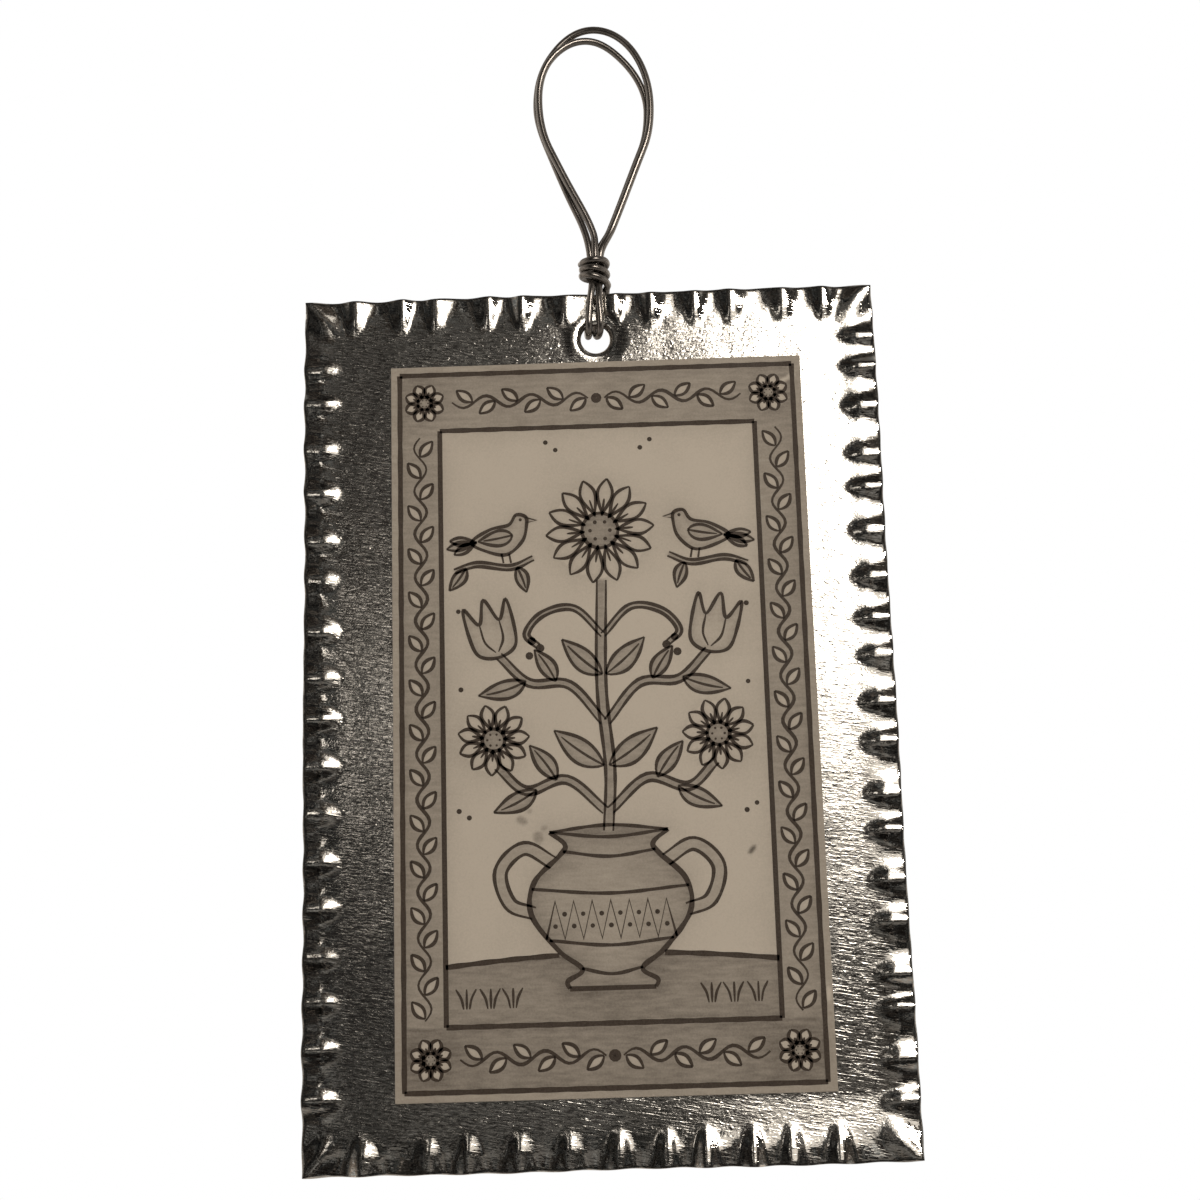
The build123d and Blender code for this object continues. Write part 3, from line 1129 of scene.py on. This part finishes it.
def card_sheet():
    """The card's front grid, and points and faces of the whole card."""
    sides = []
    for axis in (0, 2):
        sides.append(spaced(card_low[axis] + edge_bulge, card_high[axis] - edge_bulge, print_cell))
    flat, index = flat_grid(*sides)
    rim = edge_loop(index)
    bulged = flat[rim] - sideways(flat[rim], closed=True) * edge_bulge
    points = np.concatenate([
        at_depth(flat, card_low[1]),
        at_depth(bulged, (card_low[1] + card_high[1]) / 2),
        at_depth(flat[rim], card_high[1]),
    ])
    middle_rim = len(flat) + np.arange(len(rim))
    back_rim = middle_rim + len(rim)
    quads = np.concatenate([grid_quads(index), band(middle_rim, rim), band(back_rim, middle_rim)])
    return flat, points, quads.tolist() + [back_rim[::-1].tolist()]


def make_card(print_finish, ink_finish):
    flat, points, faces = card_sheet()
    card = add_piece("picture_card_printed", hung(points), faces, "plate", print_finish)
    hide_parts("picture_card")
    page = Page((flat - card_foot) / MM)
    for draw in (draw_border, draw_ground, draw_pot, draw_plant, draw_birds, draw_wear):
        draw(page)
    tones = np.zeros(len(points))
    tones[:len(flat)] = page.tone
    card.data.attributes.new("wash", "FLOAT", "POINT").data.foreach_set("value", tones)
    points, faces = ink_ribbons(page)
    add_piece("picture_card_lines", hung(points), faces, "plate", ink_finish)


# Stage

def add_camera():
    camera = bpy.data.cameras.new("camera")
    camera.sensor_width = sensor
    camera.lens = focal_pixels / image_side * sensor
    camera.clip_start = 0.01
    camera.clip_end = 20
    rig = bpy.data.objects.new("camera", camera)
    bpy.context.scene.collection.objects.link(rig)
    right = camera_look.cross(camera_up).normalized()
    up = right.cross(camera_look).normalized()
    turn = Matrix((right, up, -camera_look.normalized())).transposed()
    rig.matrix_world = Matrix.Translation(camera_place) @ turn.to_4x4()
    bpy.context.scene.camera = rig


def softbox(name, place, width, height, brightness, aim=None, roll=0.0):
    """Soft light that faces a point, or else straight to the back, rolled by an angle in degrees."""
    aim = aim or (place[0], 0, place[2])
    light = bpy.data.lights.new(name, "AREA")
    light.shape = "RECTANGLE"
    light.size = width
    light.size_y = height
    light.energy = 4 * width * height * brightness
    light.color = light_colour
    rig = bpy.data.objects.new(name, light)
    bpy.context.scene.collection.objects.link(rig)
    rig.location = place
    rig.rotation_mode = "QUATERNION"
    facing = (Vector(aim) - Vector(place)).to_track_quat("-Z", "Y")
    rig.rotation_quaternion = facing @ Quaternion((0, 0, 1), radians(roll))
    rig.visible_camera = False
    return rig


def add_lights():
    softbox("key_right", key_place, 0.125, 0.25, brightness=5.0)
    softbox("key_halo", (0.13, light_front - 0.01, 0.157), 0.22, 0.405, brightness=0.72)
    softbox("loop_strip", (0.24, light_front, 0.18), 0.3, 0.03, brightness=48.0, roll=-18.7)
    softbox("left_glow", (-0.1, light_front, 0.015), 0.025, 0.07, brightness=1.1)
    softbox("low_glow", (0.02, light_front, -0.18), 0.27, 0.08, brightness=0.1)
    softbox("back_left", (-0.5, 0.7, 0.2), 0.5, 0.6, brightness=0.75, aim=plate_middle)
    softbox("back_right", (0.6, 0.6, 0.1), 0.4, 0.6, brightness=0.6, aim=plate_middle)
    floor_middle = (0, 2.0, floor_height)
    floor_light = softbox("floor_light", (0, 2.0, 3.0), 3.0, 3.0, brightness=1.5, aim=floor_middle)
    floor_light.visible_glossy = False


def toward(tree, way, direction):
    """Cosine of the angle between where a ray goes and a direction."""
    return add_node(tree, "VectorMath", {0: way, 1: direction}, operation="DOT_PRODUCT").outputs["Value"]


def room_light(tree, way):
    """Dim cluttered room with a glow round the key light, brighter on both sides, behind and below."""
    to_key = (Vector(key_place) - Vector(plate_middle)).normalized()
    angle = sums(tree, "ARCCOSINE", toward(tree, way, to_key), 0)
    glow = sums(tree, "POWER", exp(-1 / glow_reach), angle)
    parts = add_node(tree, "SeparateXYZ", {0: way}).outputs
    aside = sums(tree, "ABSOLUTE", parts["X"], 0)
    side = spread(tree, aside, *side_range, room_dim, room_side)
    patches = noise(tree, way, scale=20, detail=2.0)
    clutter = sums(tree, "POWER", room_contrast, sums(tree, "SUBTRACT", patches, 0.5))
    front = sums(tree, "ADD", side, sums(tree, "MULTIPLY", glow, room_glow))
    front = sums(tree, "MULTIPLY", front, clutter)
    behind = spread(tree, toward(tree, way, room_front), *front_range, room_away, 0.0)
    flank = spread(tree, aside, *flank_range, 0.0, room_away)
    low = spread(tree, parts["Z"], *flank_heights, 1.0, 0.1)
    flank = sums(tree, "MULTIPLY", flank, low)
    below = spread(tree, parts["Z"], *below_range, room_away, 0.0)
    away = sums(tree, "MAXIMUM", behind, sums(tree, "MAXIMUM", flank, below))
    cloudy = spread(tree, noise(tree, way, scale=2.5, detail=1.0), 0.3, 0.7, 0.4, 1.6)
    return sums(tree, "ADD", front, sums(tree, "MULTIPLY", away, cloudy))


def add_world():
    """White surroundings for the camera, and the dim room for everything else."""
    world = bpy.data.worlds.new("studio")
    bpy.context.scene.world = world
    world.use_nodes = True
    tree = world.node_tree
    way = add_node(tree, "TexCoord", {}).outputs["Generated"]
    hue = spread(tree, noise(tree, way, scale=7, detail=1.0), 0.35, 0.65)
    tint = mixed(tree, hue, room_warm, room_grey)
    seen = add_node(tree, "LightPath", {}).outputs["Is Camera Ray"]
    put(tree.nodes["Background"], "Color", mixed(tree, seen, tint, (1, 1, 1, 1)))
    put(tree.nodes["Background"], "Strength", sums(tree, "MAXIMUM", seen, room_light(tree, way)))


def add_floor():
    mesh = bpy.data.meshes.new("floor")
    outline = ring((0, 0), floor_radius, floor_corners).tolist()
    mesh.from_pydata([(x, y, floor_height) for x, y in outline], [], [range(floor_corners)])
    mesh.materials.append(floor_material())
    floor = bpy.data.objects.new("floor", mesh)
    bpy.context.scene.collection.objects.link(floor)
    floor.visible_glossy = False


add_camera()
make_wire(wire_material())
make_plate(tin_material())
make_card(print_material(), ink_material())
frame["nodes"]["card_adhesive"].data.materials.clear()
frame["nodes"]["card_adhesive"].data.materials.append(glue_material())
add_lights()
add_world()
add_floor()
bpy.context.scene.view_settings.view_transform = "Standard"
